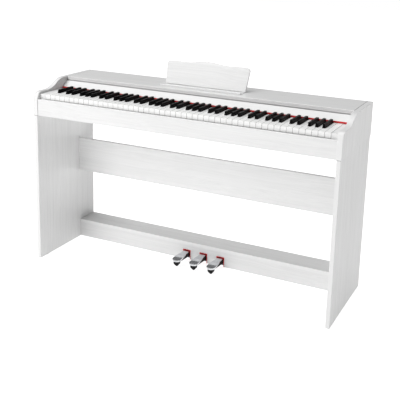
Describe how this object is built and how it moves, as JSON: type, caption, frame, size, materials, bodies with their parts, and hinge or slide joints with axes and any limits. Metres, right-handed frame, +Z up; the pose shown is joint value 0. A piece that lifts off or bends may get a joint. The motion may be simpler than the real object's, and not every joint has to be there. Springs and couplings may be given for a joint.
{
  "type": "digital piano on stand",
  "caption": "Full-size home digital piano in a white wood-grain case on a panel stand with a modesty panel, pedal box and low music rest.",
  "frame": {"origin": "on the floor under the middle of the case", "axes": "+X to the treble end, +Y from the player to the back, +Z up"},
  "size_m": [1.32, 0.412, 0.8825],
  "materials": {
    "laminate": "white wood-grain laminate on particle board",
    "backboard": "plain white hardboard",
    "white_key": "gloss moulded plastic",
    "black_key": "satin moulded plastic",
    "red_felt": "pressed wool felt",
    "black_plastic": "moulded",
    "glide_plastic": "moulded",
    "pedal_chrome": "polished",
    "zinc_steel": "zinc plated",
    "spring_steel": "bright wire",
    "circuit_board": "solder mask"
  },
  "bodies": {
    "cabinet": {"assembly_screws": "zinc_steel", "back_panel": "backboard", "circuit_boards": "circuit_board", "corner_brackets": "zinc_steel", "jack_plate": "black_plastic", "key_end_blocks": "laminate", "key_frame": "zinc_steel", "key_pivot_rod": "zinc_steel", "key_slip": "laminate", "keybed_board": "laminate", "left_cheek": "laminate", "left_leg_panel": "laminate", "leg_glides": "glide_plastic", "lid_board": "laminate", "modesty_panel": "laminate", "music_rest_base": "laminate", "name_board": "laminate", "name_board_felt": "red_felt", "pedal_axle": "zinc_steel", "pedal_base_plate": "zinc_steel", "pedal_box_front_board": "laminate", "pedal_box_top_board": "laminate", "pedal_slot_felts": "red_felt", "pedal_springs": "spring_steel", "right_cheek": "laminate", "right_leg_panel": "laminate", "speakers": "black_plastic"},
    "key_c_middle": {"key_c_middle": "white_key"},
    "keys_c_other_octaves": {"keys_c_other_octaves": "white_key"},
    "key_d_middle": {"key_d_middle": "white_key"},
    "keys_d_other_octaves": {"keys_d_other_octaves": "white_key"},
    "key_e_middle": {"key_e_middle": "white_key"},
    "keys_e_other_octaves": {"keys_e_other_octaves": "white_key"},
    "key_f_middle": {"key_f_middle": "white_key"},
    "keys_f_other_octaves": {"keys_f_other_octaves": "white_key"},
    "key_g_middle": {"key_g_middle": "white_key"},
    "keys_g_other_octaves": {"keys_g_other_octaves": "white_key"},
    "key_a_middle": {"key_a_middle": "white_key"},
    "keys_a_other_octaves": {"keys_a_other_octaves": "white_key"},
    "key_b_middle": {"key_b_middle": "white_key"},
    "keys_b_other_octaves": {"keys_b_other_octaves": "white_key"},
    "key_c_sharp_middle": {"key_c_sharp_middle": "black_key"},
    "keys_c_sharp_other_octaves": {"keys_c_sharp_other_octaves": "black_key"},
    "key_d_sharp_middle": {"key_d_sharp_middle": "black_key"},
    "keys_d_sharp_other_octaves": {"keys_d_sharp_other_octaves": "black_key"},
    "key_f_sharp_middle": {"key_f_sharp_middle": "black_key"},
    "keys_f_sharp_other_octaves": {"keys_f_sharp_other_octaves": "black_key"},
    "key_g_sharp_middle": {"key_g_sharp_middle": "black_key"},
    "keys_g_sharp_other_octaves": {"keys_g_sharp_other_octaves": "black_key"},
    "key_a_sharp_middle": {"key_a_sharp_middle": "black_key"},
    "keys_a_sharp_other_octaves": {"keys_a_sharp_other_octaves": "black_key"},
    "left_pedal": {"left_pedal_lever": "black_plastic", "left_pedal_cap": "pedal_chrome"},
    "middle_pedal": {"middle_pedal_lever": "black_plastic", "middle_pedal_cap": "pedal_chrome"},
    "right_pedal": {"right_pedal_lever": "black_plastic", "right_pedal_cap": "pedal_chrome"},
    "music_rest": {"music_rest_plate": "laminate"},
    "power_switch": {"power_switch": "black_plastic"},
    "volume_knob": {"volume_knob": "black_plastic"}
  },
  "joints": [
    {"name": "key_c_middle_press", "type": "hinge", "parent": "cabinet", "child": "key_c_middle", "pos_m": [0, 0.0385, 0.718], "axis": [1, 0, 0], "range_deg": [0, 2.58], "stiffness_Nm_per_rad": 0.8, "springref_deg": -8.59},
    {"name": "keys_c_other_octaves_press", "type": "hinge", "parent": "cabinet", "child": "keys_c_other_octaves", "pos_m": [0, 0.0385, 0.718], "axis": [1, 0, 0], "range_deg": [0, 2.58], "stiffness_Nm_per_rad": 5.6, "springref_deg": -8.59},
    {"name": "key_d_middle_press", "type": "hinge", "parent": "cabinet", "child": "key_d_middle", "pos_m": [0, 0.0385, 0.718], "axis": [1, 0, 0], "range_deg": [0, 2.58], "stiffness_Nm_per_rad": 0.8, "springref_deg": -8.59},
    {"name": "keys_d_other_octaves_press", "type": "hinge", "parent": "cabinet", "child": "keys_d_other_octaves", "pos_m": [0, 0.0385, 0.718], "axis": [1, 0, 0], "range_deg": [0, 2.58], "stiffness_Nm_per_rad": 4.8, "springref_deg": -8.59},
    {"name": "key_e_middle_press", "type": "hinge", "parent": "cabinet", "child": "key_e_middle", "pos_m": [0, 0.0385, 0.718], "axis": [1, 0, 0], "range_deg": [0, 2.58], "stiffness_Nm_per_rad": 0.8, "springref_deg": -8.59},
    {"name": "keys_e_other_octaves_press", "type": "hinge", "parent": "cabinet", "child": "keys_e_other_octaves", "pos_m": [0, 0.0385, 0.718], "axis": [1, 0, 0], "range_deg": [0, 2.58], "stiffness_Nm_per_rad": 4.8, "springref_deg": -8.59},
    {"name": "key_f_middle_press", "type": "hinge", "parent": "cabinet", "child": "key_f_middle", "pos_m": [0, 0.0385, 0.718], "axis": [1, 0, 0], "range_deg": [0, 2.58], "stiffness_Nm_per_rad": 0.8, "springref_deg": -8.59},
    {"name": "keys_f_other_octaves_press", "type": "hinge", "parent": "cabinet", "child": "keys_f_other_octaves", "pos_m": [0, 0.0385, 0.718], "axis": [1, 0, 0], "range_deg": [0, 2.58], "stiffness_Nm_per_rad": 4.8, "springref_deg": -8.59},
    {"name": "key_g_middle_press", "type": "hinge", "parent": "cabinet", "child": "key_g_middle", "pos_m": [0, 0.0385, 0.718], "axis": [1, 0, 0], "range_deg": [0, 2.58], "stiffness_Nm_per_rad": 0.8, "springref_deg": -8.59},
    {"name": "keys_g_other_octaves_press", "type": "hinge", "parent": "cabinet", "child": "keys_g_other_octaves", "pos_m": [0, 0.0385, 0.718], "axis": [1, 0, 0], "range_deg": [0, 2.58], "stiffness_Nm_per_rad": 4.8, "springref_deg": -8.59},
    {"name": "key_a_middle_press", "type": "hinge", "parent": "cabinet", "child": "key_a_middle", "pos_m": [0, 0.0385, 0.718], "axis": [1, 0, 0], "range_deg": [0, 2.58], "stiffness_Nm_per_rad": 0.8, "springref_deg": -8.59},
    {"name": "keys_a_other_octaves_press", "type": "hinge", "parent": "cabinet", "child": "keys_a_other_octaves", "pos_m": [0, 0.0385, 0.718], "axis": [1, 0, 0], "range_deg": [0, 2.58], "stiffness_Nm_per_rad": 5.6, "springref_deg": -8.59},
    {"name": "key_b_middle_press", "type": "hinge", "parent": "cabinet", "child": "key_b_middle", "pos_m": [0, 0.0385, 0.718], "axis": [1, 0, 0], "range_deg": [0, 2.58], "stiffness_Nm_per_rad": 0.8, "springref_deg": -8.59},
    {"name": "keys_b_other_octaves_press", "type": "hinge", "parent": "cabinet", "child": "keys_b_other_octaves", "pos_m": [0, 0.0385, 0.718], "axis": [1, 0, 0], "range_deg": [0, 2.58], "stiffness_Nm_per_rad": 5.6, "springref_deg": -8.59},
    {"name": "key_c_sharp_middle_press", "type": "hinge", "parent": "cabinet", "child": "key_c_sharp_middle", "pos_m": [0, 0.0385, 0.718], "axis": [1, 0, 0], "range_deg": [0, 2.58], "stiffness_Nm_per_rad": 0.8, "springref_deg": -8.59},
    {"name": "keys_c_sharp_other_octaves_press", "type": "hinge", "parent": "cabinet", "child": "keys_c_sharp_other_octaves", "pos_m": [0, 0.0385, 0.718], "axis": [1, 0, 0], "range_deg": [0, 2.58], "stiffness_Nm_per_rad": 4.8, "springref_deg": -8.59},
    {"name": "key_d_sharp_middle_press", "type": "hinge", "parent": "cabinet", "child": "key_d_sharp_middle", "pos_m": [0, 0.0385, 0.718], "axis": [1, 0, 0], "range_deg": [0, 2.58], "stiffness_Nm_per_rad": 0.8, "springref_deg": -8.59},
    {"name": "keys_d_sharp_other_octaves_press", "type": "hinge", "parent": "cabinet", "child": "keys_d_sharp_other_octaves", "pos_m": [0, 0.0385, 0.718], "axis": [1, 0, 0], "range_deg": [0, 2.58], "stiffness_Nm_per_rad": 4.8, "springref_deg": -8.59},
    {"name": "key_f_sharp_middle_press", "type": "hinge", "parent": "cabinet", "child": "key_f_sharp_middle", "pos_m": [0, 0.0385, 0.718], "axis": [1, 0, 0], "range_deg": [0, 2.58], "stiffness_Nm_per_rad": 0.8, "springref_deg": -8.59},
    {"name": "keys_f_sharp_other_octaves_press", "type": "hinge", "parent": "cabinet", "child": "keys_f_sharp_other_octaves", "pos_m": [0, 0.0385, 0.718], "axis": [1, 0, 0], "range_deg": [0, 2.58], "stiffness_Nm_per_rad": 4.8, "springref_deg": -8.59},
    {"name": "key_g_sharp_middle_press", "type": "hinge", "parent": "cabinet", "child": "key_g_sharp_middle", "pos_m": [0, 0.0385, 0.718], "axis": [1, 0, 0], "range_deg": [0, 2.58], "stiffness_Nm_per_rad": 0.8, "springref_deg": -8.59},
    {"name": "keys_g_sharp_other_octaves_press", "type": "hinge", "parent": "cabinet", "child": "keys_g_sharp_other_octaves", "pos_m": [0, 0.0385, 0.718], "axis": [1, 0, 0], "range_deg": [0, 2.58], "stiffness_Nm_per_rad": 4.8, "springref_deg": -8.59},
    {"name": "key_a_sharp_middle_press", "type": "hinge", "parent": "cabinet", "child": "key_a_sharp_middle", "pos_m": [0, 0.0385, 0.718], "axis": [1, 0, 0], "range_deg": [0, 2.58], "stiffness_Nm_per_rad": 0.8, "springref_deg": -8.59},
    {"name": "keys_a_sharp_other_octaves_press", "type": "hinge", "parent": "cabinet", "child": "keys_a_sharp_other_octaves", "pos_m": [0, 0.0385, 0.718], "axis": [1, 0, 0], "range_deg": [0, 2.58], "stiffness_Nm_per_rad": 5.6, "springref_deg": -8.59},
    {"name": "left_pedal_press", "type": "hinge", "parent": "cabinet", "child": "left_pedal", "pos_m": [-0.081, 0.186, 0.03], "axis": [1, 0, 0], "range_deg": [0, 1.9], "stiffness_Nm_per_rad": 60, "springref_deg": -3.44, "deforming": ["pedal_springs"]},
    {"name": "middle_pedal_press", "type": "hinge", "parent": "cabinet", "child": "middle_pedal", "pos_m": [0, 0.186, 0.03], "axis": [1, 0, 0], "range_deg": [0, 1.9], "stiffness_Nm_per_rad": 60, "springref_deg": -3.44, "deforming": ["pedal_springs"]},
    {"name": "right_pedal_press", "type": "hinge", "parent": "cabinet", "child": "right_pedal", "pos_m": [0.081, 0.186, 0.03], "axis": [1, 0, 0], "range_deg": [0, 1.9], "stiffness_Nm_per_rad": 60, "springref_deg": -3.44, "deforming": ["pedal_springs"]},
    {"name": "music_rest_fold", "type": "hinge", "parent": "cabinet", "child": "music_rest", "pos_m": [-0.012, 0.1049, 0.784], "axis": [-1, 0, 0], "range_deg": [0, 70]},
    {"name": "power_switch_rock", "type": "hinge", "parent": "cabinet", "child": "power_switch", "pos_m": [-0.458, 0.189, 0.692], "axis": [-1, 0, 0], "range_deg": [0, 11]},
    {"name": "volume_knob_turn", "type": "hinge", "parent": "cabinet", "child": "volume_knob", "pos_m": [-0.585, 0.19, 0.692], "axis": [0, 1, 0], "range_deg": [-150, 150]}
  ]
}
